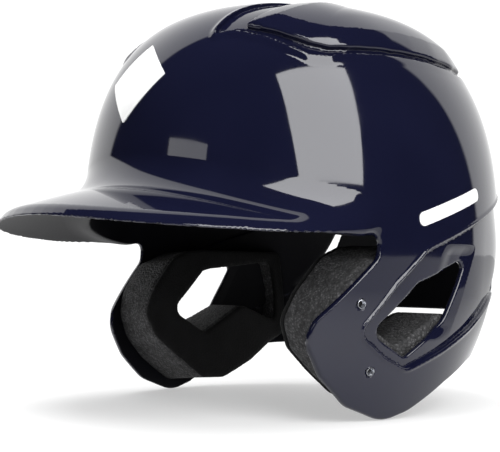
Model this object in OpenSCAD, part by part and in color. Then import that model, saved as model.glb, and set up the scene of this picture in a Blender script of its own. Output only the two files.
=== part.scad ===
// Two-flap batting helmet: glossy moulded shell with brim, raised crown panel
// and ear flaps, foam liner pads, thick jaw pads and four jaw-guard inserts.
// Frame: wearer faces -Y, wearer's left is +X, +Z is up, millimetres.

/* [Dome] */
// Half width of the dome at its widest level
dome_half_width = 106; // [95:0.5:115]
// Length of the dome ahead of its centre
dome_front = 102; // [90:0.5:115]
// Length of the dome behind its centre
dome_back = 122; // [110:0.5:135]
// Distance from the ear line forward to the dome centre
dome_shift = 17; // [5:0.5:30]
// Height of the widest level
belt_height = 96; // [80:1:120]
// Height of the dome top without the crown panel
dome_height = 210; // [195:1:225]
// Squareness of the plan section, 2 is an ellipse
plan_power = 2.1; // [2:0.05:3]
// Squareness of the dome profile
profile_power = 3.4; // [2:0.1:4.5]
// Fullness of the dome profile at the sides
side_power = 2.05; // [1.8:0.05:3]
// Fullness of the dome profile at the front and back
end_power = 2.4; // [1.8:0.05:3]
// Share of the width lost between the belt and the flap bottoms
flap_taper = 0.15; // [0.05:0.01:0.25]
// Further share of the rear length lost toward the nape
nape_taper = 0.36; // [0.1:0.01:0.6]
// Wall of the moulded shell
wall = 3; // [2.5:0.1:5]

/* [Brim] */
// How far the brim tip stands ahead of the ear line
brim_reach = 170; // [150:1:185]
// Height of the brim tip on the centre line
brim_tip_height = 101; // [85:1:110]
// Half width of the brim
brim_half_width = 105; // [95:1:115]
// How much the brim rises from its tip to the forehead
brim_gain = 17; // [8:0.5:25]
// How much the brim drops from its centre line to its sides
brim_arch = 28.5; // [10:0.5:34]
// How far the brim sides lift again at the temples
temple_lift = 6; // [0:0.5:10]
// Thickness of the brim plate
brim_wall = 4; // [3:0.1:6]
// Length position where the brim ends at the temples
brim_back = -46; // [-70:1:-30]

/* [Crown] */
// Height of the raised crown panel over the dome
crown_rise = 3; // [1:0.5:6]
// Height of the lip that borders the front of the crown panel
lip_rise = 1.6; // [0.5:0.1:4]
// Depth of the gutter between lip and crown panel
gutter_depth = 1.2; // [0.5:0.1:3]

/* [Ear area] */
// Depth of the recess around the ear window
recess_depth = 2; // [1:0.1:3]
// Corner radius of the ear window
window_round = 5; // [2:0.5:10]
// Corner radius of the rear vents
vent_round = 1.5; // [0.5:0.5:4]

/* [Padding] */
// Thickness of the firm foam pads
pad_thickness = 9; // [5:0.5:15]
// Thickness of the soft comfort layer on each pad
comfort_thickness = 5; // [2:0.5:10]
// Half of the clear width between the jaw pads at the flap bottoms
jaw_half_gap = 50.5; // [48:0.5:70]
// How much that half width grows per unit of height
jaw_flare = 0.15; // [0:0.01:0.3]
// How fast the jaw pads thin out toward the ear
jaw_thinning = 0.002; // [0:0.0005:0.02]
// Thickness of the soft facing on the jaw pads
facing_thickness = 3; // [1:0.5:6]

/* [Jaw guard inserts] */
// Radius of the threaded bore
bore_radius = 1.5; // [1.2:0.01:3]
// Outer radius of the insert barrel
barrel_radius = 2.1; // [1.9:0.1:5]
// Radius of the inner flange
flange_radius = 5; // [4:0.5:10]
// Thickness of the inner flange
flange_thickness = 1.2; // [0.8:0.1:2]
// How far the barrel end stands proud of the shell
barrel_proud = 0.2; // [0:0.1:1]
// How far the barrel reaches into the helmet, flange included
barrel_reach = 5.8; // [4:0.5:9]

/* [Markings] */
// Thickness of the applied white markings
marking_thickness = 0.4; // [0.2:0.1:1]

/* [Hidden] */

// The file is drawn about the ear line; these put the box centre at X = Y = 0
// and the flap bottoms at Z = 0.
centre_shift = 33;
floor_shift = -2.3;
// Steps of the dome meshes: around, above the belt, below the belt.
around_steps = 64;
upper_steps = 14;
lower_steps = 6;
// Longest cutting body used for outlines.
reach = 260;
// Overlap that joins the raised crown pieces to the surface under them.
seat = 0.4;
// Length position ahead of which the jaw pads keep their full thickness.
jaw_full = -50;

navy = [0.05, 0.06, 0.17];
foam_grey = [0.2, 0.2, 0.21];
soft_black = [0.05, 0.05, 0.055];
steel = [0.75, 0.76, 0.78];
white = [0.95, 0.95, 0.95];

// Share of full size left at height z in the direction a.
function rise(z) = max(0, min(1, (z - belt_height) / (dome_height - belt_height)));
function drop(z) = max(0, (belt_height - z) / belt_height);
function rise_power(a) = side_power + (end_power - side_power) * pow(sin(a), 2);
function taper(z, a) = flap_taper * pow(drop(z), 3)
    + (sin(a) < 0 ? 0 : nape_taper * pow(sin(a) * drop(z), 2));
function share(z, a) = pow(1 - pow(rise(z), rise_power(a)), 1 / profile_power) - taper(z, a);

// Radius factor of the plan section at angle a.
function plan(a) = pow(pow(abs(cos(a)), plan_power) + pow(abs(sin(a)), plan_power),
                       -1 / plan_power);

// Point of the dome surface at angle a and height z, and its outward normal.
function skin(a, z) =
    let (k = plan(a) * share(z, a), ly = (sin(a) < 0 ? dome_front : dome_back))
    [dome_half_width * cos(a) * k, ly * sin(a) * k - dome_shift, z];
function skin_normal(a, z) =
    let (n = cross(skin(a + 0.5, z) - skin(a - 0.5, z), skin(a, z) - skin(a, z - 0.5)))
    n / norm(n);
function dome_point(a, z, o) = skin(a, z) + o * skin_normal(a, z);

// Heights of the mesh rings, closest together near the top.
function ring_heights(skip) = concat(
    [for (i = [0 : skip : lower_steps - 1]) -4 + (belt_height + 4) * i / lower_steps],
    [for (i = [0 : skip : upper_steps - 1])
        belt_height + (dome_height - belt_height) * sin(90 * i / upper_steps)]);

// Closed solid under the dome surface moved outward by o; a larger skip is coarser.
module dome(o = 0, skip = 1) {
    heights = ring_heights(skip);
    rings = len(heights);
    n = around_steps / skip;
    points = concat(
        [for (z = heights) for (i = [0 : n - 1]) dome_point(360 * i / n, z, o)],
        [[0, -dome_shift, dome_height + o], [0, -dome_shift, heights[0]]]);
    top = rings * n;
    sides = [for (r = [0 : rings - 2]) for (i = [0 : n - 1])
        let (j = (i + 1) % n) [[r * n + i, (r + 1) * n + i, (r + 1) * n + j],
                               [r * n + i, (r + 1) * n + j, r * n + j]]];
    cap = [for (i = [0 : n - 1]) [(rings - 1) * n + i, top, (rings - 1) * n + (i + 1) % n]];
    base = [for (i = [0 : n - 1]) [(i + 1) % n, top + 1, i]];
    polyhedron(points, concat([for (pair = sides) for (f = pair) f], cap, base));
}

// Body swept sideways from an outline drawn in the Y-Z plane.
module across(from = -reach, to = reach)
    translate([from, 0, 0])
        rotate([90, 0, 90])
            linear_extrude(to - from)
                children();

// Body swept rearward from an outline drawn in the X-Z plane.
module along(from = -reach, to = reach)
    translate([0, to, 0])
        rotate([90, 0, 0])
            linear_extrude(to - from)
                children();

// Rounds every corner of an outline.
module rounded(r) offset(r) offset(-r) children();
module eased(r) offset(-r) offset(r) children();

// Side outline of the shell with its flaps, jaw corner forward and low.
module shell_outline()
    eased(8) rounded(6)
        polygon([[-200, 240], [-200, 105], [-119, 104.6], [-95, 96.6], [-62, 91.2], [-41, 89],
                 [-41, 79], [-68, 50],
                 [-72, 38], [-64.5, 25], [-49, 8], [-29, 2.0], [-14, 6], [10, 18], [34, 27],
                 [58, 29], [70, 34], [84, 50], [160, 50], [160, 240]]);

// Ear window, a slanted pentagon.
module window_outline()
    rounded(window_round)
        polygon([[23, 79], [-17, 67], [-44, 44], [-22, 31], [4, 48], [15, 65]]);

// Stepped recess that starts around the window and wraps round the back.
module recess_outline()
    rounded(4)
        polygon([[200, 138], [100, 121], [58, 106], [-12, 82], [-30, 66], [-50, 43],
                 [-35, 32], [-22, 26], [1, 34], [26, 44], [56, 58], [100, 74], [200, 84]]);

// Slanted rear vent slot on the wearer's left, drawn from behind.
module vent_outline()
    rounded(vent_round)
        polygon([[79, 61], [61, 103], [57, 103], [71, 61]]);

// Plan outlines of the left crown panel: the gutter round it, and the raised panel.
module crown_border()
    rounded(2)
        polygon([[39.5, -90], [58, -77.5], [75.5, -66], [81.5, -58], [85.5, -42], [87.6, -16],
                 [86.5, 2], [84, 18], [77.5, 38], [66, 57], [50, 68], [34, 68], [27, 50], [30, 10],
                 [33, -20], [34, -50], [35.5, -68]]);
module crown_panel()
    rounded(2)
        polygon([[50, -77.5], [61, -71.7], [75.6, -59.6], [80.6, -52], [84.2, -40], [86, -16],
                 [85, 1], [82.4, 17], [76, 36], [65, 54], [50, 64], [36, 64], [31, 50], [36, 10],
                 [44, -20], [50, -45], [51, -60]]);
module both_sides()
    for (s = [-1, 1])
        scale([s, 1])
            children();

// Height of the brim's upper face over a plan position.
function brim_top(x, y) =
    brim_tip_height + brim_gain * sin(min(90, y + brim_reach))
    - brim_arch * pow(x / brim_half_width, 2)
    + temple_lift * pow(max(0, (y + 107) / 57), 2);

// Slab between the brim's two faces, over the whole front of the helmet.
module brim_slab() {
    xs = [for (i = [-11 : 11]) i * 10.3];
    ys = [for (j = [0 : 9]) -brim_reach - 5 + j * 15.3];
    n = len(ys);
    grid = [for (x = xs) for (y = ys) [x, y, brim_top(x, y)]];
    count = len(grid);
    points = concat(grid, [for (p = grid) p - [0, 0, brim_wall]]);
    top = [for (i = [0 : len(xs) - 2]) for (j = [0 : n - 2])
        let (k = i * n + j) [[k, k + 1, k + n + 1], [k, k + n + 1, k + n]]];
    rim = concat([for (j = [0 : n - 1]) j],
                 [for (i = [1 : len(xs) - 1]) i * n + n - 1],
                 [for (j = [n - 2 : -1 : 0]) (len(xs) - 1) * n + j],
                 [for (i = [len(xs) - 2 : -1 : 1]) i * n]);
    m = len(rim);
    polyhedron(points, concat(
        [for (pair = top) for (f = pair) f],
        [for (pair = top) for (f = pair) [f[0] + count, f[2] + count, f[1] + count]],
        [for (i = [0 : m - 1]) let (u = rim[i], v = rim[(i + 1) % m]) [v, u, u + count]],
        [for (i = [0 : m - 1]) let (u = rim[i], v = rim[(i + 1) % m])
            [v, u + count, v + count]]));
}

// Plan outline of the brim, wide at the temples and rounded ahead.
module brim_outline()
    polygon(concat([[-80, brim_back], [80, brim_back]],
        [for (a = [90 : -6 : -90])
            [brim_half_width * sign(a) * pow(abs(sin(a)), 0.9),
             brim_back - 6 - (brim_reach + brim_back - 6) * pow(max(0, cos(a)), 0.9)]]));

// Brim plate that grows out of the forehead.
module brim()
    intersection() {
        brim_slab();
        linear_extrude(reach) brim_outline();
    }

// Inside of the shell: follows the wall and steps in behind the recess.
module cavity() {
    difference() {
        dome(-wall, 2);
        across()
            offset(delta = 1)
                recess_outline();
    }
    dome(-wall - recess_depth, 2);
}

// Layer under the dome surface between two depths, cut by the children.
module layer(outer, inner) {
    intersection() {
        difference() {
            dome(outer);
            dome(inner);
        }
        children();
    }
}

// Upright body over a plan outline, above the belt.
module above_plan()
    translate([0, 0, belt_height + 20])
        linear_extrude(dome_height)
            children();

// Ring of the lip along the front and side of the gutter.
module lip_ring()
    difference() {
        intersection() {
            offset(4) crown_border();
            translate([36.6, -100]) square([60, 72]);
        }
        offset(seat / 2) crown_border();
    }

// Vent slot at the front corner of the gutter.
module crown_slot()
    hull() {
        translate([46.5, -81]) circle(d = 3.4, $fn = 16);
        translate([57, -75.6]) circle(d = 2.6, $fn = 16);
    }

// One moulding: dome, ear flaps, brim and crown panel.
module shell()
    color(navy) place() resize([0, 0, 0]) difference() {
        union() {
            difference() {
                intersection() {
                    dome();
                    across() shell_outline();
                }
                layer(crown_rise, -gutter_depth) above_plan() both_sides() crown_border();
                layer(1, -recess_depth) across() recess_outline();
            }
            layer(crown_rise, -gutter_depth - seat) above_plan() both_sides() crown_panel();
            layer(lip_rise, -seat) above_plan() both_sides() lip_ring();
            brim();
        }
        cavity();
        across() window_outline();
        along(20, reach) for (s = [-1, 1]) scale([s, 1]) vent_outline();
        translate([0, 0, belt_height]) linear_extrude(reach) both_sides() crown_slot();
        each_insert() insert_clearance();
    }

// Moves the part onto the shared origin.
module place() translate([0, centre_shift, floor_shift]) children();

// Angle around the dome where the left side passes length y at height z.
function angle_at(y, z, lo = -85, hi = 85, n = 24) =
    let (mid = (lo + hi) / 2)
    n == 0 ? mid : skin(mid, z)[1] < y ? angle_at(y, z, mid, hi, n - 1)
                                       : angle_at(y, z, lo, mid, n - 1);

// Insert centres on the left flap as [length, height], upper one first.
insert_spots = [[-50, 57], [-42, 26]];

// Puts an upright child on the flap skin with its axis along the normal.
module on_flap(spot, side) {
    a = angle_at(spot[0], spot[1]);
    p = skin(a, spot[1]);
    n = skin_normal(a, spot[1]);
    scale_x = side;
    translate([scale_x * p[0], p[1], p[2]])
        rotate([0, acos(n[2]), atan2(n[1], scale_x * n[0])])
            children();
}
module each_insert()
    for (side = [-1, 1])
        for (spot = insert_spots)
            on_flap(spot, side) children();

// Hole and flat inner seat for one insert.
module insert_clearance() {
    translate([0, 0, -reach / 8])
        cylinder(r = barrel_radius + 0.03, h = reach / 4, $fn = 32);
    translate([0, 0, -wall - 8])
        cylinder(r = flange_radius + 0.3, h = 8.4, $fn = 32);
}

// Flanged steel insert with a through bore for the jaw-guard screw.
module insert(spot, side)
    color(steel) place() on_flap(spot, side) difference() {
        union() {
            translate([0, 0, -barrel_reach])
                cylinder(r = barrel_radius, h = barrel_reach + barrel_proud, $fn = 64);
            translate([0, 0, 0.4 - wall - flange_thickness])
                cylinder(r = flange_radius, h = flange_thickness, $fn = 64);
        }
        translate([0, 0, -barrel_reach - 1])
            cylinder(r = bore_radius, h = barrel_reach + barrel_proud + 2, $fn = 64);
    }
module insert_left_upper() insert(insert_spots[0], 1);
module insert_left_lower() insert(insert_spots[1], 1);
module insert_right_upper() insert(insert_spots[0], -1);
module insert_right_lower() insert(insert_spots[1], -1);

// Pad layer between two depths below the shell's inner face.
module lining(from, to)
    intersection() {
        difference() {
            if (from == 0) cavity(); else dome(-wall - from, 2);
            dome(-wall - to, 2);
        }
        children();
    }
module firm() lining(0, pad_thickness) children();
module comfort() lining(pad_thickness, pad_thickness + comfort_thickness) children();

// Places of the dome pads.
module front_place()
    intersection() {
        across() rounded(8) polygon([[-150, 112], [-66, 112], [-66, 196], [-150, 196]]);
        along(-reach, 0) rounded(10) polygon([[-62, 112], [62, 112], [50, 196], [-50, 196]]);
    }
module crown_place()
    above_plan() rounded(12) polygon([[-46, -60], [46, -60], [46, 52], [-46, 52]]);
module side_place()
    intersection() {
        across(50, reach) rounded(10)
            polygon([[-60, 104], [44, 124], [50, 188], [-58, 188]]);
        above_plan_low() polygon([[50, -100], [200, -100], [200, 100], [50, 100]]);
    }
module above_plan_low() linear_extrude(reach) children();
module rear_place()
    intersection() {
        across() polygon([[58, 122], [200, 122], [200, 192], [58, 192]]);
        along(0, reach) rounded(10) polygon([[-58, 122], [58, 122], [46, 192], [-46, 192]]);
    }

module front_pad() color(foam_grey) place() resize([0, 0, 0]) firm() front_place();
module front_comfort() color(soft_black) place() resize([0, 0, 0]) comfort() front_place();
module crown_pad() color(foam_grey) place() resize([0, 0, 0]) firm() crown_place();
module crown_comfort() color(soft_black) place() resize([0, 0, 0]) comfort() crown_place();
module rear_pad() color(foam_grey) place() resize([0, 0, 0]) firm() rear_place();
module rear_comfort() color(soft_black) place() resize([0, 0, 0]) comfort() rear_place();
module side_pad_left() color(foam_grey) place() resize([0, 0, 0]) firm() side_place();
module side_pad_right() color(foam_grey) mirror([1, 0, 0]) side_pad_left();
module side_comfort_left() color(soft_black) place() resize([0, 0, 0]) comfort() side_place();
module side_comfort_right() color(soft_black) mirror([1, 0, 0]) side_comfort_left();

// Side outlines of the jaw pad: against the shell, and at its inner face.
function jaw_outer() = [[-24, 83], [-45, 75], [-59.5, 60], [-63, 48], [-60, 34], [-50, 21],
                        [-31, 6], [-14, 10], [10, 20], [30, 29], [50, 35], [50, 84]];
function jaw_inner() = [[-34, 85], [-44.5, 80], [-58, 63], [-65.5, 49], [-59, 36], [-47, 26],
                        [-29, 12], [-14, 11], [10, 19], [30, 29], [50, 35], [50, 84]];
// Ear hole of the jaw pad, the window and the room behind it.
function ear_hole() = [[38, 78], [-22, 73], [-47, 50], [-26, 37], [6, 52], [38, 41], [40, 60]];

// Half width left clear between the jaw pads.
function jaw_face(y, z) = jaw_half_gap + jaw_flare * z
    + jaw_thinning * pow(max(0, y - jaw_full), 2);

// Everything outside the jaw pad's inner face moved outward by o.
module beyond_jaw_face(o)
    hull()
        for (y = [-90, jaw_full, -30, -10, 10, 30, 56])
            for (z = [0, 95])
                translate([jaw_face(y, z) + o, y, z])
                    cube([reach / 2, 0.01, 0.01]);

// Prism between the two side outlines, bent back along its rear end.
module jaw_prism(part) hull() {
    across(105, 106) polygon([for (i = part) jaw_outer()[i]]);
    across(50, 51) polygon([for (i = part) jaw_inner()[i]]);
}

// Jaw pad between its outline and the shell, not yet faced.
module jaw_block()
    difference() {
        intersection() {
            cavity();
            union() {
                jaw_prism([0, 1, 2, 3, 4, 5, 6, 7]);
                jaw_prism([0, 7, 8, 9, 10, 11]);
            }
        }
        across(0) rounded(4) polygon(ear_hole());
    }
module jaw_pad_left()
    color(foam_grey) place() resize([0, 0, 0]) difference() {
        intersection() {
            jaw_block();
            beyond_jaw_face(facing_thickness);
        }
        for (spot = insert_spots)
            on_flap(spot, 1)
                translate([0, 0, -wall - 8])
                    cylinder(r = flange_radius + 0.3, h = 12, $fn = 32);
    }
module jaw_pad_right() color(foam_grey) mirror([1, 0, 0]) jaw_pad_left();
module jaw_facing_left()
    color(soft_black) place() resize([0, 0, 0]) difference() {
        intersection() {
            jaw_block();
            beyond_jaw_face(0);
        }
        beyond_jaw_face(facing_thickness);
    }
module jaw_facing_right() color(soft_black) mirror([1, 0, 0]) jaw_facing_left();

// Plain white applied markings.
module front_marking()
    color(white) place() resize([0, 0, 0])
        layer(marking_thickness, 0)
            along(-reach, -40)
                polygon([[0, 190], [23, 166], [0, 142], [-23, 166]]);
module side_marking_left()
    color(white) place() resize([0, 0, 0])
        layer(marking_thickness, 0)
            across(40) hull() {
                translate([-16, 96]) circle(d = 7, $fn = 24);
                translate([28, 110]) circle(d = 7, $fn = 24);
            }
module side_marking_right() color(white) mirror([1, 0, 0]) side_marking_left();

shell();
front_pad();
front_comfort();
crown_pad();
crown_comfort();
side_pad_left();
side_pad_right();
side_comfort_left();
side_comfort_right();
rear_pad();
rear_comfort();
jaw_pad_left();
jaw_pad_right();
jaw_facing_left();
jaw_facing_right();
insert_left_upper();
insert_left_lower();
insert_right_upper();
insert_right_lower();
front_marking();
side_marking_left();
side_marking_right();
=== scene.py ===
# Batting helmet: high-detail shell, foam padding, inserts, markings, studio.
# Shapes are worked out in millimetres about the ear line (as in the CAD), then
# moved into the frame: the wearer faces -Y and the wearer's left is +X.
import math
import bmesh
import bpy
import numpy as np
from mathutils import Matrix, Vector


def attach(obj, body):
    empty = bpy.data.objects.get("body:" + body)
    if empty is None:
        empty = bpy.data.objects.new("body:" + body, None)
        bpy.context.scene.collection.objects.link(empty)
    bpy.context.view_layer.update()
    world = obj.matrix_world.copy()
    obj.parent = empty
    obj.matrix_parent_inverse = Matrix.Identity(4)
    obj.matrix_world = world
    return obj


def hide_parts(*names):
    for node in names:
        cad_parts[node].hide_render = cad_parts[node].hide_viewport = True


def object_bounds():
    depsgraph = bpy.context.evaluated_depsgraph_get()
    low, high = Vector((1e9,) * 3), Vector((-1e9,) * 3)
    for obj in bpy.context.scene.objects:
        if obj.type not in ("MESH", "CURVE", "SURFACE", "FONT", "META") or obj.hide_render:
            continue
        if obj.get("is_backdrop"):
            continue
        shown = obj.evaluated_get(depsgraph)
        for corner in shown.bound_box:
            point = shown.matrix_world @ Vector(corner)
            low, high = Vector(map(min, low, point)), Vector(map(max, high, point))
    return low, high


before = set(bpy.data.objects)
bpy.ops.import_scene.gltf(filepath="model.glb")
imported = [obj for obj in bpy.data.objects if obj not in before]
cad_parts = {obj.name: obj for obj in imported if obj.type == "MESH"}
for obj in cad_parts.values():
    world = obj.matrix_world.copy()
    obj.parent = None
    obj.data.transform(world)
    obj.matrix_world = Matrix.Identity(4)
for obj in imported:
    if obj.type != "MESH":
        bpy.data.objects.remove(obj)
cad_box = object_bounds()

import openvdb
from mathutils import Matrix, Vector

# ---------------------------------------------------------------- dimensions
# Dome (mm), the same driving values as the CAD model.
HALF_WIDTH, FRONT, BACK, SHIFT = 106.0, 102.0, 122.0, 17.0
BELT, TOP = 96.0, 210.0
PLAN_POWER, PROFILE_POWER = 2.1, 3.4
SIDE_POWER, END_POWER = 2.05, 2.4
FLAP_TAPER, NAPE_TAPER = 0.15, 0.36
WALL = 3.0
# Brim; its edge is bevelled above over BRIM_BEVEL and rounded by BRIM_ROUND.
BRIM_REACH, BRIM_TIP, BRIM_HALF = 170.0, 101.0, 105.0
BRIM_GAIN, BRIM_ARCH, TEMPLE_LIFT, BRIM_BACK = 17.0, 28.5, 6.0, -46.0
BRIM_WALL, BRIM_FILLET = 4.0, 13.0
BRIM_BEVEL, BRIM_ROUND = 4.2, 1.2
# The sides lift again behind LIFT_START.
LIFT_START, LIFT_RUN = -107.0, 57.0
# Crown panel, lip and gutter.
CROWN_RISE, SHOULDER, LIP_RISE, FACET = 3.0, 10.0, 1.3, 6.5
GUTTER_FRONT, GUTTER_SIDE = 2.0, 1.6
GUTTER_ROUND, LIP_ROUND, PANEL_ROUND, PANEL_FILLET = 0.7, 0.6, 1.2, 0.5
# Lengths ahead of which the lip and the deep gutter show, and widths beyond which the
# lip's facet and the side gutter show.
LIP_START, CHANNEL_START, FACET_SIDE, GUTTER_START = -46.0, -20.0, 36.0, 62.0
# Share of the panel's rise that stands up as a step, and share kept behind and inboard.
STEP_SHARE, INBOARD_SHARE = 0.3, 0.35
# Recess round the ear window, its bead, and the scoop ahead of its slanted crease.
RECESS, BEAD, SCOOP = 2.2, 0.7, 1.8
BEAD_PLACE, BEAD_WIDTH = 0.9, 0.75
# The recess fades out behind FADE_START and below FADE_ROOF.
FADE_START, FADE_ROOF = 62.0, 98.0
# Crease between two points (length, height); the scoop deepens over SCOOP_RUN ahead of
# it, ends SCOOP_LENGTH ahead of it, and lies between two heights.
CREASE_FOOT, CREASE_HEAD = (10.0, 44.0), (30.0, 83.0)
SCOOP_RUN, SCOOP_LENGTH, SCOOP_LOW, SCOOP_HIGH = 11.0, 24.0, 42.0, 82.0
# Rounding of the shell's rims, of the windows and vents, and of the crown slots.
RIM_ROUND, OPENING_ROUND, SLOT_ROUND = 0.9, 1.1, 0.6
# The crown slots cut only above SLOT_FLOOR, and the vents only behind VENT_START.
SLOT_FLOOR, VENT_START = 150.0, 20.0
# Padding, and the gap between the shell and the foam under it.
PAD, COMFORT = 9.0, 5.0
FACING = 3.0
PAD_GAP = 0.2
# Inner face of a jaw pad: half the gap between the pads, widening with height, and
# with the square of the length behind JAW_FULL. JAW_SHELL is where the pad meets the
# shell, and JAW_SPAN the width over which its outline leans forward.
JAW_HALF_GAP, JAW_FLARE, JAW_THINNING, JAW_FULL = 50.5, 0.15, 0.002, -50.0
JAW_SHELL, JAW_SPAN = 105.0, 55.0
# Jaw-guard inserts.
BORE, BARREL, FLANGE, FLANGE_THICK = 1.5, 2.1, 5.0, 1.2
INSERT_SPOTS = ((-50.0, 57.0), (-42.0, 26.0))
INSERT_PROUD, INSERT_REACH = 0.2, 5.8
CHAMFER, RING_STEP, THREAD_DEPTH = 0.25, 0.25, 0.16
# Room round an insert: hole in the shell, and seat for the flange behind it.
HOLE_CLEARANCE, HOLE_HALF = 0.05, 20.0
SEAT_CLEARANCE, SEAT_MIDDLE, SEAT_HALF = 0.3, -7.0, 4.4
# Applied white film.
FILM_THICK, FILM_GAP, FILM_STEP, FILM_RINGS = 0.4, 0.02, 1.5, 14
# Ear line to frame.
OFFSET = np.array([0.0, 33.0, -2.3])
SHELL_VOXEL = 1.0
PAD_VOXEL = 1.4


# ------------------------------------------------------------ outline helpers
def rounded_outline(corners, steps=6):
    """Closed polyline from (u, v, radius) corners, each rounded by an arc."""
    nearly_straight = 1.55
    points = []
    count = len(corners)
    for i, (u, v, radius) in enumerate(corners):
        here = np.array([u, v], float)
        before = np.array(corners[i - 1][:2], float) - here
        after = np.array(corners[(i + 1) % count][:2], float) - here
        len_b, len_a = np.linalg.norm(before), np.linalg.norm(after)
        before, after = before / len_b, after / len_a
        half = math.acos(max(-1.0, min(1.0, float(before @ after)))) / 2
        if radius <= 0 or half > nearly_straight:
            points.append(here)
            continue
        run = min(radius / math.tan(half), 0.49 * len_b, 0.49 * len_a)
        radius = run * math.tan(half)
        inward = (before + after) / np.linalg.norm(before + after)
        middle = here + inward * radius / math.sin(half)
        start, end = here + before * run - middle, here + after * run - middle
        for k in range(steps + 1):
            w = k / steps
            arm = start * (1 - w) + end * w
            points.append(middle + arm / np.linalg.norm(arm) * radius)
    return np.array(points)


class Outline:
    """Signed distance to a closed outline, negative inside, looked up on a grid."""

    def __init__(self, corners, step=1.0, margin=30.0):
        poly = rounded_outline(corners)
        self.low = poly.min(0) - margin
        size = np.ceil((poly.max(0) + margin - self.low) / step).astype(int) + 1
        self.step, self.size = step, size
        u = self.low[0] + step * np.arange(size[0])
        v = self.low[1] + step * np.arange(size[1])
        gu, gv = np.meshgrid(u, v, indexing="ij")
        best = np.full(gu.shape, 1e9)
        inside = np.zeros(gu.shape, bool)
        for a, b in zip(poly, np.roll(poly, -1, 0)):
            ab = b - a
            length = max(float(ab @ ab), 1e-9)
            t = np.clip(((gu - a[0]) * ab[0] + (gv - a[1]) * ab[1]) / length, 0, 1)
            best = np.minimum(best, (gu - a[0] - t * ab[0]) ** 2 + (gv - a[1] - t * ab[1]) ** 2)
            if abs(ab[1]) > 1e-9:
                cross = (gv > a[1]) != (gv > b[1])
                inside ^= cross & (gu < a[0] + (gv - a[1]) * ab[0] / ab[1])
        self.grid = np.where(inside, -1.0, 1.0) * np.sqrt(best)

    def __call__(self, u, v):
        fu = np.clip((u - self.low[0]) / self.step, 0, self.size[0] - 1.001)
        fv = np.clip((v - self.low[1]) / self.step, 0, self.size[1] - 1.001)
        i, j = fu.astype(np.int32), fv.astype(np.int32)
        a, b = fu - i, fv - j
        g = self.grid
        return ((g[i, j] * (1 - a) + g[i + 1, j] * a) * (1 - b)
                + (g[i, j + 1] * (1 - a) + g[i + 1, j + 1] * a) * b)


def smax(a, b, r):
    """Intersection of two fields with a rounded edge of radius r."""
    return np.minimum(-r, np.maximum(a, b)) + np.hypot(np.maximum(a + r, 0), np.maximum(b + r, 0))


def smin(a, b, r):
    """Union of two fields with a fillet of radius r."""
    return -smax(-a, -b, r)


def step_up(x, width):
    """Smooth 0 to 1 rise of x over a width centred on zero."""
    t = np.clip(x / width + 0.5, 0, 1)
    return t * t * (3 - 2 * t)


# ------------------------------------------------------------------- outlines
# Side view (length y, height z, corner radius).
SHELL_SIDE = Outline([
    (-220, 260, 0), (-220, 105, 0), (-119, 104.6, 20), (-95, 96.6, 20), (-58, 90.6, 10),
    (-41, 89, 9), (-42, 78, 7), (-69, 50, 12), (-72, 40, 14), (-64, 24, 14), (-50, 10, 16),
    (-28.5, 1.6, 18), (-14, 5.8, 18), (10, 18, 30), (34, 27, 24), (58, 29, 10), (71, 34, 10),
    (84, 50, 10), (180, 50, 0), (180, 260, 0)], 0.7)
WINDOW = Outline([
    (22, 78.6, 3), (-17, 66.2, 5), (-43, 43.5, 5), (-22, 31.5, 4), (4, 48, 12), (14.5, 65, 12)], 0.5)
RECESS_SIDE = Outline([
    (220, 150, 0), (100, 121, 40), (58, 106, 30), (-12, 82, 16), (-31, 66, 10), (-50, 43.5, 5),
    (-35, 32, 8), (-22, 26, 8), (1, 34, 10), (26, 44, 30), (56, 58, 40), (100, 74, 40), (220, 92, 0)], 0.5)
# Behind view (width x, height z).
VENT_BACK = Outline([(79, 61, 2), (61, 103, 1), (57.6, 103, 1), (72, 61, 2)], 0.5)
# Plan view of the left side (width x, length y): lip crest, foot of the crown panel, and
# the middle line of the slot between them.
LIP_PLAN = Outline([
    (39.3, -90, 2), (45.5, -84.2, 20), (57.7, -77.8, 40), (69.8, -70.2, 30), (78.6, -62.5, 12),
    (82.7, -54.5, 12), (85.2, -43, 30), (87.2, -30, 40), (87.8, -16, 40), (86.7, 1, 40), (84, 18, 40),
    (77.5, 38, 30), (66, 57, 20), (50, 68, 15), (34, 68, 12), (27, 50, 20), (30, 10, 40), (33, -20, 40),
    (34, -50, 40), (35.5, -68, 20)], 0.4)
CROWN_PLAN = Outline([
    (49.8, -78, 1), (55.4, -75.4, 30), (68.8, -66.2, 30), (75.6, -59.8, 20), (80.6, -52.2, 12),
    (83.7, -41.7, 30), (85.4, -31, 40), (86.1, -17, 40), (85.2, -1, 40), (82.4, 17, 40), (76, 36, 30),
    (65, 54, 20), (50, 64, 15), (36, 64, 12), (31, 50, 20), (36, 10, 40), (44, -20, 40), (50, -45, 40),
    (51, -60, 30)], 0.4)
SLOT_ENDS = ((46.5, -81.0), (57.0, -75.8))
SLOT_RADIUS = 1.6
# Jaw pad seen from the side: against the shell, at its inner face, and its ear hole.
JAW_OUTER = Outline([
    (-24, 83, 5), (-45, 75, 8), (-59.5, 60, 12), (-63, 48, 10), (-60, 34, 10), (-50, 21, 12), (-31, 6, 8),
    (-14, 10, 10), (10, 20, 20), (30, 29, 20), (50, 35, 6), (50, 84, 6)])
JAW_INNER = Outline([
    (-34, 85, 5), (-44.5, 80, 8), (-58, 63, 12), (-65.5, 49, 8), (-59, 36, 10), (-47, 26, 12), (-29, 12, 8),
    (-14, 11, 10), (10, 19, 20), (30, 29, 20), (50, 35, 6), (50, 84, 6)])
EAR_HOLE = Outline([
    (38, 78, 4), (-22, 73, 5), (-47, 50, 5), (-26, 37, 5), (6, 52, 8), (38, 41, 5), (40, 60, 10)])
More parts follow.
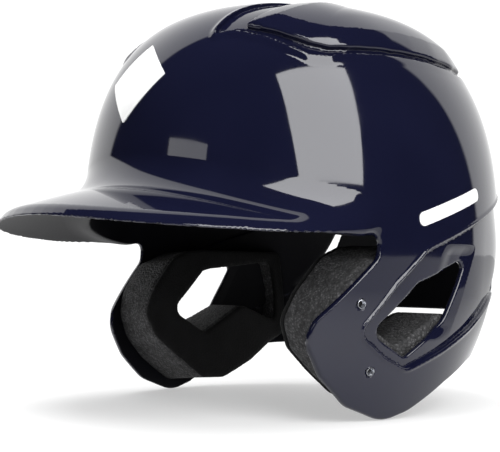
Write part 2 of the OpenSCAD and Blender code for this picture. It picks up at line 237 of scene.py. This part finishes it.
# Dome pads: forehead and temples from the side, forehead and rear from the front.
FRONT_SIDE = Outline([(-150, 112, 0), (-66, 112, 8), (-66, 196, 8), (-150, 196, 0)])
FRONT_FACE = Outline([(-62, 112, 10), (62, 112, 10), (50, 196, 10), (-50, 196, 10)])
CROWN_PAD_PLAN = Outline([(-46, -60, 12), (46, -60, 12), (46, 52, 12), (-46, 52, 12)])
TEMPLE_SIDE = Outline([(-60, 104, 10), (44, 124, 10), (50, 188, 10), (-58, 188, 10)])
REAR_FACE = Outline([(-58, 122, 10), (58, 122, 10), (46, 192, 10), (-46, 192, 10)])
# Brim in plan: a rounded curve swept from one temple to the other.
BRIM_PLAN = Outline(
    [(80, -42, 0), (99, -44, 0), (102.4, -52, 0)]
    + [(BRIM_HALF * math.copysign(abs(math.sin(a)) ** 0.9, math.sin(a)),
        BRIM_BACK - 6 - (BRIM_REACH + BRIM_BACK - 6) * max(0.0, math.cos(a)) ** 0.9, 0)
       for a in (math.radians(84 - 4 * i) for i in range(43))]
    + [(-102.4, -52, 0), (-99, -44, 0), (-80, -42, 0)])


# --------------------------------------------------------------------- fields
def dome_raw(x, y, z):
    """Uneven level of the plain dome: zero on it, negative inside."""
    v = y + SHIFT
    length = np.where(v < 0, FRONT, BACK)
    a, b = np.abs(x) / HALF_WIDTH, np.abs(v) / length
    rho = (a ** PLAN_POWER + b ** PLAN_POWER) ** (1 / PLAN_POWER)
    end = b * b / (a * a + b * b + 1e-9)
    power = SIDE_POWER + (END_POWER - SIDE_POWER) * end
    rise = np.clip((z - BELT) / (TOP - BELT), 0, 3)
    drop = np.maximum((BELT - z) / BELT, 0)
    taper = FLAP_TAPER * drop ** 3 + np.where(v < 0, 0.0, NAPE_TAPER) * end * drop ** 2
    full = (rho ** PROFILE_POWER + rise ** power) ** (1 / PROFILE_POWER)
    return full - 1 + taper


def dome_field(x, y, z, e=0.5):
    """First-order distance to the plain dome, and its outward normal."""
    gx = (dome_raw(x + e, y, z) - dome_raw(x - e, y, z)) / (2 * e)
    gy = (dome_raw(x, y + e, z) - dome_raw(x, y - e, z)) / (2 * e)
    gz = (dome_raw(x, y, z + e) - dome_raw(x, y, z - e)) / (2 * e)
    size = np.sqrt(gx * gx + gy * gy + gz * gz + 1e-12)
    return dome_raw(x, y, z) / size, (gx / size, gy / size, gz / size)


def crowned(plain, x, y, normal):
    """Dome with the crown panel, the lip round it and the gutter between them."""
    steep = 1 / np.clip(normal[2], 0.3, 1)
    foot_x, foot_y = np.abs(x - plain * normal[0]), y - plain * normal[1]
    lip, panel = LIP_PLAN(foot_x, foot_y) * steep, CROWN_PLAN(foot_x, foot_y) * steep
    front = step_up(LIP_START - foot_y, 26)
    facet = (step_up(0.5 - np.maximum(lip, 0) / FACET, 1) * np.clip(front + 0.1, 0, 1)
             * step_up(foot_x - FACET_SIDE, 6))
    channel = step_up(CHANNEL_START - foot_y, 50)
    outboard = step_up(foot_x - GUTTER_START, 20)
    depth = (GUTTER_SIDE + (GUTTER_FRONT - GUTTER_SIDE) * front) * np.maximum(channel, outboard)
    gutter = smax(lip, -(plain + depth), GUTTER_ROUND)
    grooved = smax(plain - LIP_RISE * facet, -gutter, LIP_ROUND)
    slope = STEP_SHARE + (1 - STEP_SHARE) * np.clip(-panel / SHOULDER, 0, 1)
    rise = CROWN_RISE * slope * np.maximum(channel, INBOARD_SHARE + (1 - INBOARD_SHARE) * outboard)
    return smin(grooved, smax(panel, plain - rise, PANEL_ROUND), PANEL_FILLET)


def recess_height(y, z):
    """Height of the surface round the ear window: recess, its bead and the scoop."""
    d = RECESS_SIDE(y, z)
    fade = 1 - step_up(y - FADE_START, 36) * step_up(FADE_ROOF - z, 40)
    (foot_y, foot_z), (head_y, head_z) = CREASE_FOOT, CREASE_HEAD
    crease = foot_y + (z - foot_z) * (head_y - foot_y) / (head_z - foot_z)
    ahead = crease - y
    scoop = np.clip(ahead / SCOOP_RUN, 0, 1) * (1 - step_up(ahead - SCOOP_LENGTH, 10))
    scoop = scoop * step_up(z - SCOOP_LOW, 8) * step_up(SCOOP_HIGH - z, 6)
    bead = np.exp(-((d - BEAD_PLACE) / BEAD_WIDTH) ** 2)
    return -RECESS * fade * step_up(-d - 0.6, 1.2) + BEAD * fade * bead - SCOOP * scoop


def brim_top(x, y):
    """Height of the brim's upper face."""
    lift = np.maximum((y - LIFT_START) / LIFT_RUN, 0)
    return (BRIM_TIP + BRIM_GAIN * np.sin(np.radians(np.minimum(90, y + BRIM_REACH)))
            - BRIM_ARCH * (x / BRIM_HALF) ** 2 + TEMPLE_LIFT * lift ** 2)


def brim_field(x, y, z):
    """Arched plate of the brim, cut to its plan and bevelled along its upper edge."""
    lean = 0.96
    top = brim_top(x, y)
    rim = BRIM_PLAN(x, y)
    upper = (z - top) * lean
    lower = (top - BRIM_WALL - z) * lean
    bevel = (upper * 0.75 + (rim + BRIM_BEVEL) * 0.66)
    solid = smax(upper, bevel, BRIM_ROUND)
    solid = smax(solid, rim, BRIM_ROUND)
    return smax(solid, lower, BRIM_ROUND)


def capsule(x, y, ends, radius):
    """Plan distance to a round-ended slot."""
    (ax, ay), (bx, by) = ends
    dx, dy = bx - ax, by - ay
    t = np.clip(((x - ax) * dx + (y - ay) * dy) / (dx * dx + dy * dy), 0, 1)
    return np.hypot(x - ax - t * dx, y - ay - t * dy) - radius


def shell_field(x, y, z):
    """Whole moulded shell with its openings and the holes for the inserts."""
    plain, normal = dome_field(x, y, z)
    recess = recess_height(y, z)
    outer = crowned(plain, x, y, normal) - recess
    outer = smax(outer, SHELL_SIDE(y, z), RIM_ROUND)
    outer = smin(outer, brim_field(x, y, z), BRIM_FILLET * step_up(-40 - y, 30) + 1.0)
    cavity = plain + WALL - np.minimum(recess, 0)
    body = smax(outer, -cavity, RIM_ROUND)
    body = smax(body, -WINDOW(y, z), OPENING_ROUND)
    slot = np.maximum(capsule(np.abs(x), y, SLOT_ENDS, SLOT_RADIUS), SLOT_FLOOR - z)
    body = smax(body, -slot, SLOT_ROUND)
    vent = np.maximum(VENT_BACK(np.abs(x), z), VENT_START - y)
    body = smax(body, -vent, OPENING_ROUND)
    for centre, axis in FLAP_POINTS:
        off = np.stack([np.abs(x) - centre[0], y - centre[1], z - centre[2]])
        along = off[0] * axis[0] + off[1] * axis[1] + off[2] * axis[2]
        radial = np.sqrt(np.maximum((off * off).sum(0) - along * along, 0))
        hole = np.maximum(radial - BARREL - HOLE_CLEARANCE, np.abs(along) - HOLE_HALF)
        seat = np.maximum(radial - FLANGE - SEAT_CLEARANCE, np.abs(along - SEAT_MIDDLE) - SEAT_HALF)
        body = np.maximum(body, -np.minimum(hole, seat))
    return body


def flap_point(y, z):
    """Point of the left side of the dome at length y and height z, and its normal."""
    x = HALF_WIDTH
    for _ in range(60):
        x -= float(dome_field(np.array([x]), np.array([y]), np.array([z]))[0][0]) * 0.8
    point, e = np.array([x, y, z]), 0.5
    slope = np.array([float(dome_raw(*(point + d)) - dome_raw(*(point - d))) for d in np.eye(3) * e])
    return point, slope / np.linalg.norm(slope)


FLAP_POINTS = [flap_point(y, z) for y, z in INSERT_SPOTS]


def depth_under_shell(x, y, z):
    """Distance inward from the shell's inner face."""
    return -dome_field(x, y, z)[0] - WALL + np.minimum(recess_height(y, z), 0)


def pad_layer(x, y, z, start, end, side, edge, puff, puff_width=14.0):
    """Foam layer between two depths under the shell, crowned toward the head."""
    depth = depth_under_shell(x, y, z)
    thinner = puff * np.clip(1 + side / puff_width, 0, 1) ** 2
    layer = smax(start + PAD_GAP - depth, depth - end + thinner, edge)
    return smax(layer, side, edge)


def jaw_field(x, y, z, start, end):
    """Jaw foam from start to end millimetres behind the pad's inner face."""
    depth = depth_under_shell(x, y, z)
    face = JAW_HALF_GAP + JAW_FLARE * z + JAW_THINNING * np.maximum(y - JAW_FULL, 0) ** 2 - x
    body = smax(jaw_side(x, y, z), PAD_GAP - depth, 1.0)
    body = smax(body, face + start, 1.5)
    return body if end is None else smax(body, -face - end, 0.6)


def jaw_side(x, y, z):
    """Side outline of the jaw pad, leaning forward toward its inner face, less the ear hole."""
    inward = np.clip((JAW_SHELL - np.abs(x)) / JAW_SPAN, 0, 1)
    return smax(JAW_OUTER(y, z) * (1 - inward) + JAW_INNER(y, z) * inward, -EAR_HOLE(y, z), 2.0)


# -------------------------------------------------------------------- meshing
def field_mesh(name, field, low, high, voxel, band=7.0):
    """Mesh of field < 0 inside a box, with smooth vertices on the true surface."""
    block = 4
    background = 3.0 * voxel
    low, high = np.array(low, float), np.array(high, float)
    coarse = block * voxel
    counts = np.ceil((high - low) / coarse).astype(int) + 1
    axes = [low[i] + coarse * np.arange(counts[i]) for i in range(3)]
    gx, gy, gz = np.meshgrid(*axes, indexing="ij")
    near = np.abs(field(gx.ravel(), gy.ravel(), gz.ravel()).reshape(gx.shape)) < band + coarse
    fine = np.repeat(np.repeat(np.repeat(near, block, 0), block, 1), block, 2)
    i, j, k = np.nonzero(fine)
    centring = (block - 1) / 2
    x, y, z = (low[a] + voxel * (index - centring) for a, index in enumerate((i, j, k)))
    grid = np.full(fine.shape, background, np.float32)
    grid[i, j, k] = field(x, y, z)
    vdb = openvdb.FloatGrid(background)
    vdb.copyFromArray(grid)
    points, quads = vdb.convertToQuads(isovalue=0.0)
    points = low + voxel * (points.astype(float) - centring)

    def slope(p, e=0.15):
        return np.stack([(field(*(p + d).T) - field(*(p - d).T)) / (2 * e) for d in np.eye(3) * e], 1)

    for _ in range(3):
        g = slope(points)
        move = field(*points.T)[:, None] * g / np.maximum((g * g).sum(1, keepdims=True), 0.05)
        size = np.linalg.norm(move, axis=1, keepdims=True)
        points -= move * np.minimum(1, 0.6 * voxel / np.maximum(size, 1e-9))
    return make_object(name, points, quads, slope(points))


def link_object(name, data):
    """New object in the scene."""
    obj = bpy.data.objects.new(name, data)
    bpy.context.scene.collection.objects.link(obj)
    return obj


def make_object(name, points, faces, normals=None):
    """Object from points in ear-line millimetres."""
    mesh = bpy.data.meshes.new(name)
    mesh.from_pydata(((points + OFFSET) / 1000.0).tolist(), [], faces.tolist())
    mesh.update()
    mesh.validate()
    mesh.shade_smooth()
    if normals is not None and len(mesh.vertices) == len(normals):
        length = np.maximum(np.linalg.norm(normals, axis=1, keepdims=True), 1e-9)
        mesh.normals_split_custom_set_from_vertices((normals / length).tolist())
    return link_object(name, mesh)


# ------------------------------------------------------------------ materials
def material(name, color, roughness=0.5, metallic=0.0):
    """New material with its nodes, links and main shader."""
    mat = bpy.data.materials.new(name)
    mat.use_nodes = True
    shader = mat.node_tree.nodes["Principled BSDF"]
    shader.inputs["Base Color"].default_value = (*color, 1)
    shader.inputs["Roughness"].default_value = roughness
    shader.inputs["Metallic"].default_value = metallic
    return mat, mat.node_tree.nodes, mat.node_tree.links, shader


def grey(level):
    return (level, level, level)


def object_coords(nodes):
    return nodes.new("ShaderNodeTexCoord").outputs["Object"]


def noise(nodes, links, scale, detail):
    """Value of a noise texture in object space."""
    node = nodes.new("ShaderNodeTexNoise")
    node.inputs["Scale"].default_value = scale
    node.inputs["Detail"].default_value = detail
    links.new(object_coords(nodes), node.inputs["Vector"])
    return node.outputs["Fac"]


def cells(nodes, links, scale):
    """Distance value of a cell texture in object space."""
    node = nodes.new("ShaderNodeTexVoronoi")
    node.inputs["Scale"].default_value = scale
    links.new(object_coords(nodes), node.inputs["Vector"])
    return node.outputs["Distance"]


def ramp(nodes, links, value, stops):
    """Colour that follows a value through (position, colour) stops."""
    node = nodes.new("ShaderNodeValToRGB")
    while len(node.color_ramp.elements) < len(stops):
        node.color_ramp.elements.new(0.5)
    for element, (position, color) in zip(node.color_ramp.elements, stops):
        element.position = position
        element.color = (*color, 1)
    links.new(value, node.inputs["Fac"])
    return node.outputs["Color"]


def bump(nodes, links, shader, height, strength, distance):
    """Fine relief on a shader from a height value."""
    node = nodes.new("ShaderNodeBump")
    node.inputs["Strength"].default_value = strength
    node.inputs["Distance"].default_value = distance
    links.new(height, node.inputs["Height"])
    links.new(node.outputs["Normal"], shader.inputs["Normal"])


def gloss_navy():
    """Polished dark blue plastic under a thin clear coat."""
    mat, nodes, links, shader = material("navy_gloss", (0.012, 0.014, 0.05), 0.09)
    tint = ramp(nodes, links, noise(nodes, links, 18, 3),
                [(0.35, (0.0042, 0.0048, 0.0155)), (0.65, (0.0052, 0.0059, 0.0185))])
    links.new(tint, shader.inputs["Base Color"])
    haze = ramp(nodes, links, noise(nodes, links, 60, 4), [(0.4, grey(0.045)), (0.75, grey(0.085))])
    links.new(haze, shader.inputs["Roughness"])
    shader.inputs["Coat Weight"].default_value = 0.25
    shader.inputs["Coat Roughness"].default_value = 0.03
    shader.inputs["Coat IOR"].default_value = 1.5
    bump(nodes, links, shader, noise(nodes, links, 55, 1), 0.12, 0.0004)
    return mat


def cut_foam():
    """Dark charcoal foam with the pale specks of its cut cells."""
    mat, nodes, links, shader = material("cut_foam", (0.04, 0.04, 0.042), 0.9)
    pores = cells(nodes, links, 700)
    speck = ramp(nodes, links, pores,
                 [(0.0, (0.15, 0.15, 0.155)), (0.32, (0.055, 0.055, 0.057)), (0.7, (0.028, 0.028, 0.03))])
    blotch = ramp(nodes, links, noise(nodes, links, 260, 4), [(0.35, grey(0.55)), (0.7, grey(1.25))])
    mix = nodes.new("ShaderNodeMix")
    mix.data_type = "RGBA"
    mix.blend_type = "MULTIPLY"
    mix.inputs["Factor"].default_value = 1.0
    links.new(speck, mix.inputs["A"])
    links.new(blotch, mix.inputs["B"])
    links.new(mix.outputs["Result"], shader.inputs["Base Color"])
    bump(nodes, links, shader, pores, 0.9, 0.0008)
    return mat


def soft_fabric():
    """Near-black brushed facing."""
    mat, nodes, links, shader = material("soft_facing", grey(0.004), 0.85)
    tone = ramp(nodes, links, noise(nodes, links, 90, 3),
                [(0.3, (0.0025, 0.0025, 0.0027)), (0.7, (0.005, 0.005, 0.0055))])
    links.new(tone, shader.inputs["Base Color"])
    shader.inputs["Sheen Weight"].default_value = 0.04
    shader.inputs["Specular IOR Level"].default_value = 0.2
    shader.inputs["Sheen Roughness"].default_value = 0.5
    bump(nodes, links, shader, cells(nodes, links, 900), 0.5, 0.0004)
    return mat


def plated_steel():
    """Plated steel with uneven polish."""
    mat, nodes, links, shader = material("plated_steel", (0.42, 0.43, 0.46), 0.25, 1.0)
    wear = ramp(nodes, links, noise(nodes, links, 900, 3), [(0.3, grey(0.16)), (0.7, grey(0.38))])
    links.new(wear, shader.inputs["Roughness"])
    return mat


def white_film():
    """White printed film."""
    mat, nodes, links, shader = material("white_film", (0.85, 0.85, 0.86), 0.35)
    tone = ramp(nodes, links, noise(nodes, links, 140, 3), [(0.3, grey(0.80)), (0.7, grey(0.88))])
    links.new(tone, shader.inputs["Base Color"])
    shader.inputs["Coat Weight"].default_value = 0.3
    return mat


def dull_navy():
    """Unpolished inner face of the shell."""
    mat, nodes, links, shader = material("navy_unpolished", (0.004, 0.004, 0.009), 0.55)
    tone = ramp(nodes, links, noise(nodes, links, 40, 3),
                [(0.3, (0.0022, 0.0022, 0.004)), (0.7, (0.0045, 0.0045, 0.0075))])
    links.new(tone, shader.inputs["Base Color"])
    shader.inputs["Specular IOR Level"].default_value = 0.25
    bump(nodes, links, shader, noise(nodes, links, 900, 2), 0.25, 0.0003)
    return mat


NAVY, DULL, FOAM, FABRIC = gloss_navy(), dull_navy(), cut_foam(), soft_fabric()
STEEL, FILM = plated_steel(), white_film()


def finish_piece(piece, mat, slot, node):
    """Gives a piece its material, hangs it on the root body and hides the CAD part named by node; slot is not
    used.
    """
    piece.data.materials.append(mat)
    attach(piece, "root")
    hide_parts(node)
    return piece


# ---------------------------------------------------------------------- shell
def dull_inside(piece):
    """Gives the cavity and the underside of the brim the unpolished finish."""
    mesh = piece.data
    mesh.materials.append(DULL)
    count = len(mesh.polygons)
    centres, normals = np.empty(3 * count), np.empty(3 * count)
    mesh.polygons.foreach_get("center", centres)
    mesh.polygons.foreach_get("normal", normals)
    spots = centres.reshape(-1, 3) * 1000 - OFFSET
    plain, outward = dome_field(*spots.T)
    facing = (normals.reshape(-1, 3) * np.array(outward).T).sum(1)
    cavity = (plain < -WALL / 2 - 0.1) & (facing < -0.5)
    inside_plan = BRIM_PLAN(spots[:, 0], spots[:, 1]) < -BRIM_ROUND - 0.3
    above_flaps = spots[:, 2] > 70
    faces_down = normals.reshape(-1, 3)[:, 2] < -0.85
    under = inside_plan & above_flaps & faces_down & (plain > -2 * WALL)
    mesh.polygons.foreach_set("material_index", (cavity | under).astype(np.int32))


shell = finish_piece(field_mesh("helmet_shell", shell_field, (-112, -176, -1), (112, 110, 218), SHELL_VOXEL),
                     NAVY, "shell_plastic", "shell")
dull_inside(shell)


# -------------------------------------------------------------------- padding
def add_pad(name, side, start, end, low, high, mat, slot, node, edge, puff, fill):
    """One foam piece under the shell; side gives the distance to its outline."""
    def field(x, y, z):
        return pad_layer(x, y, z, start, end, side(x, y, z), edge, puff)
    piece = finish_piece(field_mesh(name, field, low, high, PAD_VOXEL, 5.0), mat, slot, node)
    return piece


def twin(piece, name, node, slot, fill):
    """Mirror image of a left piece for the right side."""
    mesh = piece.data.copy()
    mesh.transform(Matrix.Scale(-1, 4, (1, 0, 0)))
    mesh.flip_normals()
    other = link_object(name, mesh)
    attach(other, "root")
    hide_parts(node)
    return other


def front_side(x, y, z):
    """Outline of the forehead pad."""
    return smax(FRONT_SIDE(y, z), FRONT_FACE(x, z), 6.0)


def crown_side(x, y, z):
    """Outline of the crown pad."""
    return np.maximum(CROWN_PAD_PLAN(x, y), 116 - z)


def temple_side(x, y, z):
    """Outline of the left temple pad."""
    return smax(TEMPLE_SIDE(y, z), 50 - x, 4.0)


def rear_side(x, y, z):
    """Outline of the rear pad."""
    return smax(REAR_FACE(x, z), 58 - y, 4.0)


CENTRE_PADS = (
    ("front", front_side, (-64, -124, 108), (64, -50, 200)),
    ("crown", crown_side, (-52, -66, 150), (52, 58, 214)),
    ("rear", rear_side, (-64, 30, 116), (64, 108, 198)))
for place, side, low, high in CENTRE_PADS:
    add_pad(place + "_firm", side, 0, PAD, low, high, FOAM, "liner_foam", place + "_pad", 2.0, 1.0, 1.0)
    add_pad(place + "_soft", side, PAD, PAD + COMFORT, low, high, FABRIC, "comfort_foam",
            place + "_comfort", 2.2, 2.2, 0.8)
TEMPLE_HIGH = (110, 56, 194)
TEMPLE_PADS = (
    ("temple_firm", 0, PAD, (44, -66, 98), FOAM, "liner_foam", "side_pad", 2.0, 1.0, 1.0),
    ("temple_soft", PAD, PAD + COMFORT, (40, -66, 98), FABRIC, "comfort_foam", "side_comfort", 2.2, 2.2, 0.8))
for name, start, end, low, mat, slot, node, edge, puff, fill in TEMPLE_PADS:
    left = add_pad(name + "_left", temple_side, start, end, low, TEMPLE_HIGH, mat, slot, node + "_left",
                   edge, puff, fill)
    twin(left, name + "_right", node + "_right", slot, fill)
JAW_PADS = (("jaw_firm", FACING, None, FOAM, "liner_foam", "jaw_pad", 1.0),
            ("jaw_soft", 0.0, FACING - 0.15, FABRIC, "comfort_foam", "jaw_facing", 0.9))
for name, start, end, mat, slot, node, fill in JAW_PADS:
    mesh_piece = field_mesh(name + "_left", lambda x, y, z: jaw_field(x, y, z, start, end),
                            (48, -72, 2), (108, 58, 92), PAD_VOXEL, 5.0)
    left = finish_piece(mesh_piece, mat, slot, node + "_left")
    twin(left, name + "_right", node + "_right", slot, fill)


# -------------------------------------------------------------------- inserts
def add_insert(name, spot, node):
    """Turned steel insert: rounded flange and barrel end, ringed thread in the bore."""
    centre, normal = spot
    inner = -INSERT_REACH
    thread = [(BORE + (THREAD_DEPTH if k % 2 else 0.0), INSERT_PROUD - 0.55 - RING_STEP * k)
              for k in range(int((INSERT_REACH + INSERT_PROUD - 0.9) / RING_STEP))]
    back = 0.4 - WALL - FLANGE_THICK
    front = back + FLANGE_THICK
    mouth = [(BORE + 0.35, INSERT_PROUD)]  # small countersink
    barrel_end = [(BORE + 0.3, inner), (BARREL - CHAMFER, inner), (BARREL, inner + CHAMFER), (BARREL, back)]
    flange = [(FLANGE - CHAMFER, back), (FLANGE, back + CHAMFER), (FLANGE, front - CHAMFER),
              (FLANGE - CHAMFER, front), (BARREL, front)]
    rim = [(BARREL, INSERT_PROUD - 0.3), (BARREL - 0.1, INSERT_PROUD - 0.08), (BARREL - 0.3, INSERT_PROUD)]
    profile = mouth + thread + barrel_end + flange + rim
    across = np.cross(normal, (0, 0, 1.0))
    across /= np.linalg.norm(across)
    other = np.cross(normal, across)
    turns, count = 48, len(profile)
    angles = 2 * math.pi * np.arange(turns) / turns
    points = np.array([centre + r * (math.cos(t) * across + math.sin(t) * other) + h * normal
                       for t in angles for r, h in profile])
    faces = np.array([(i * count + j, i * count + (j + 1) % count,
                       (i + 1) % turns * count + (j + 1) % count, (i + 1) % turns * count + j)
                      for i in range(turns) for j in range(count)])
    piece = make_object(name, points, faces)
    piece.data.set_sharp_from_angle(angle=math.radians(35))
    return finish_piece(piece, STEEL, "insert_steel", node)


for word, spot in zip(("upper", "lower"), FLAP_POINTS):
    left = add_insert("insert_" + word + "_near", spot, "insert_left_" + word)
    twin(left, "insert_" + word + "_far", "insert_right_" + word, "insert_steel", None)


# ------------------------------------------------------------------- markings
def outer_field(x, y, z):
    """Outer face of the shell, without its openings."""
    plain, normal = dome_field(x, y, z)
    return crowned(plain, x, y, normal) - recess_height(y, z)


def on_shell(points, lift):
    """Points moved onto the shell's outer face, then out by lift."""
    e = 0.2
    for _ in range(8):
        slope = np.stack([(outer_field(*(points + d).T) - outer_field(*(points - d).T)) / (2 * e)
                          for d in np.eye(3) * e], 1)
        slope /= np.linalg.norm(slope, axis=1, keepdims=True)
        points = points - (outer_field(*points.T) - lift)[:, None] * slope
    return points


def add_film(name, corners, radius, centre, place, slot, node):
    """Thin film on the shell; corners outline it in a flat view, place puts it in space."""
    rim = rounded_outline([(u, v, radius) for u, v in corners], 8)
    dense = []
    for a, b in zip(rim, np.roll(rim, -1, 0)):
        steps = max(1, int(np.linalg.norm(b - a) / FILM_STEP))
        dense += [a + (b - a) * k / steps for k in range(steps)]
    rim, rings = np.array(dense), FILM_RINGS
    flat = np.concatenate([centre + (rim - centre) * k / rings for k in range(1, rings + 1)] + [[centre]])
    space = np.array([place(u, v) for u, v in flat])
    n, total = len(rim), len(flat)
    upper_face, lower_face = on_shell(space, FILM_THICK), on_shell(space, FILM_GAP)
    faces = []
    for r in range(rings - 1):
        for i in range(n):
            faces.append((r * n + i, r * n + (i + 1) % n, (r + 1) * n + (i + 1) % n, (r + 1) * n + i))
    faces += [(total - 1, (i + 1) % n, i) for i in range(n)]
    under = [tuple(total + k for k in reversed(face)) for face in faces]
    last = (rings - 1) * n
    walls = [(last + i, last + (i + 1) % n, total + last + (i + 1) % n, total + last + i) for i in range(n)]
    mesh = bpy.data.meshes.new(name)
    points = (np.concatenate([upper_face, lower_face]) + OFFSET) / 1000.0
    mesh.from_pydata(points.tolist(), [], faces + under + walls)
    mesh.update()
    piece = link_object(name, mesh)
    face_outward(piece)
    mesh.shade_smooth()
    mesh.set_sharp_from_angle(angle=math.radians(40))
    return finish_piece(piece, FILM, slot, node)


def face_outward(piece):
    """Turns every face of a closed mesh outward."""
    work = bmesh.new()
    work.from_mesh(piece.data)
    bmesh.ops.recalc_face_normals(work, faces=work.faces)
    work.to_mesh(piece.data)
    work.free()


add_film("front_mark", [(0, 190), (23, 166), (0, 142), (-23, 166)], 1.0, np.array([0.0, 166.0]),
         lambda u, v: (u, -105.0, v), "marking_white", "front_marking")
side_mark = add_film("side_mark_near", [(-19.5, 98.6), (-18.2, 92.1), (31.5, 107.4), (30.2, 113.9)], 3.0,
                     np.array([6.0, 103.0]), lambda u, v: (105.0, u, v), "marking_white", "side_marking_left")
twin(side_mark, "side_mark_far", "side_marking_right", "marking_white", None)


# --------------------------------------------------------------------- camera
# The camera stands off from AIM, then turns by YAW and PITCH so that the helmet sits
# off the centre of the picture.
CAMERA_AZIMUTH, CAMERA_DISTANCE = math.radians(50), 0.620
AIM = Vector((0.0, 0.033, 0.0692))
SENSOR_WIDTH, LENS = 36.0, 81.26
YAW, PITCH = math.radians(-2.739), math.radians(2.334)


def add_camera():
    """Camera at the height of the ear windows."""
    data = bpy.data.cameras.new("camera")
    data.sensor_width, data.lens = SENSOR_WIDTH, LENS
    data.clip_start, data.clip_end = 0.05, 50
    camera = link_object("camera", data)
    away = Vector((math.sin(CAMERA_AZIMUTH), -math.cos(CAMERA_AZIMUTH), 0))
    right = Vector((math.cos(CAMERA_AZIMUTH), math.sin(CAMERA_AZIMUTH), 0))
    up = Vector((0, 0, 1))
    level = -away * math.cos(YAW) + right * math.sin(YAW)
    side = away * math.sin(YAW) + right * math.cos(YAW)
    ahead = level * math.cos(PITCH) + up * math.sin(PITCH)
    above = up * math.cos(PITCH) - level * math.sin(PITCH)
    place = Matrix((side, above, -ahead)).transposed().to_4x4()
    place.translation = AIM + away * CAMERA_DISTANCE
    camera.matrix_world = place
    bpy.context.scene.camera = camera


add_camera()


# --------------------------------------------------------------------- studio
def add_floor():
    """White paper floor: takes shadow near the helmet and glows farther out."""
    half = 6.0
    corners = [(-half, -half, 0), (half, -half, 0), (half, half, 0), (-half, half, 0)]
    mesh = bpy.data.meshes.new("floor")
    mesh.from_pydata(corners, [], [(0, 1, 2, 3)])
    floor = link_object("floor", mesh)
    mat, nodes, links, shader = material("floor_paper", (0.86, 0.86, 0.86), 0.7)
    tone = ramp(nodes, links, noise(nodes, links, 3, 2), [(0.3, grey(0.85)), (0.7, grey(0.875))])
    links.new(tone, shader.inputs["Base Color"])
    shader.inputs["Specular IOR Level"].default_value = 0.1
    glow = nodes.new("ShaderNodeEmission")
    path = nodes.new("ShaderNodeLightPath")
    strength = nodes.new("ShaderNodeMapRange")
    strength.inputs["To Min"].default_value = 1.1
    strength.inputs["To Max"].default_value = 0.7
    links.new(path.outputs["Is Glossy Ray"], strength.inputs["Value"])
    links.new(strength.outputs["Result"], glow.inputs["Strength"])
    far = nodes.new("ShaderNodeVectorMath")
    far.operation = "LENGTH"
    links.new(object_coords(nodes), far.inputs[0])
    fade = ramp(nodes, links, far.outputs["Value"], [(0.1, grey(0.4)), (0.6, grey(1.0))])
    mix = nodes.new("ShaderNodeMixShader")
    links.new(fade, mix.inputs["Fac"])
    links.new(shader.outputs["BSDF"], mix.inputs[1])
    links.new(glow.outputs["Emission"], mix.inputs[2])
    links.new(mix.outputs["Shader"], nodes["Material Output"].inputs["Surface"])
    mesh.materials.append(mat)
    floor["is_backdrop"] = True


def add_softbox(name, azimuth, elevation, distance, wide, high, power):
    """Area light seen from the helmet at a compass angle and height angle."""
    data = bpy.data.lights.new(name, "AREA")
    data.shape = "RECTANGLE"
    data.size, data.size_y = wide, high
    data.energy = power
    lamp = link_object(name, data)
    a, e = math.radians(azimuth), math.radians(elevation)
    way = Vector((math.sin(a) * math.cos(e), -math.cos(a) * math.cos(e), math.sin(e)))
    lamp.location = Vector((0, 0, 0.1)) + way * distance
    lamp.rotation_euler = (-way).to_track_quat("-Z", "Y").to_euler()
    return lamp


def add_world():
    """White studio behind the helmet, dim on the camera's side."""
    world = bpy.data.worlds.new("studio")
    world.use_nodes = True
    nodes, links = world.node_tree.nodes, world.node_tree.links
    back = nodes["Background"]
    coords = nodes.new("ShaderNodeTexCoord")
    split = nodes.new("ShaderNodeVectorMath")
    split.operation = "DOT_PRODUCT"
    bright_side, height = math.radians(-130), 0.42
    split.inputs[1].default_value = (math.sin(bright_side), -math.cos(bright_side), height)
    links.new(coords.outputs["Generated"], split.inputs[0])
    shade = ramp(nodes, links, split.outputs["Value"], [(0.545, grey(0.012)), (0.575, grey(1.0))])
    path = nodes.new("ShaderNodeLightPath")
    mix = nodes.new("ShaderNodeMix")
    mix.data_type = "RGBA"
    links.new(path.outputs["Is Camera Ray"], mix.inputs["Factor"])
    links.new(shade, mix.inputs["A"])
    mix.inputs["B"].default_value = (*grey(1.0), 1)
    links.new(mix.outputs["Result"], back.inputs["Color"])
    back.inputs["Strength"].default_value = 1.15
    bpy.context.scene.world = world
    bpy.context.scene.view_settings.view_transform = "Standard"


add_floor()
add_world()
add_softbox("key_right", 79, 34, 1.6, 1.15, 1.35, 32)
add_softbox("key_foot", 52, 9, 1.6, 1.0, 0.13, 2.6)
add_softbox("far_panel", -8, 17, 1.6, 0.7, 0.2, 0.8)
overhead = add_softbox("overhead", -30, 80, 1.5, 1.6, 1.0, 30)
overhead.visible_glossy = False

low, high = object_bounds()
({"cad": [list(map(float, side)) for side in cad_box],
           "visual": [list(map(float, low)), list(map(float, high))]})
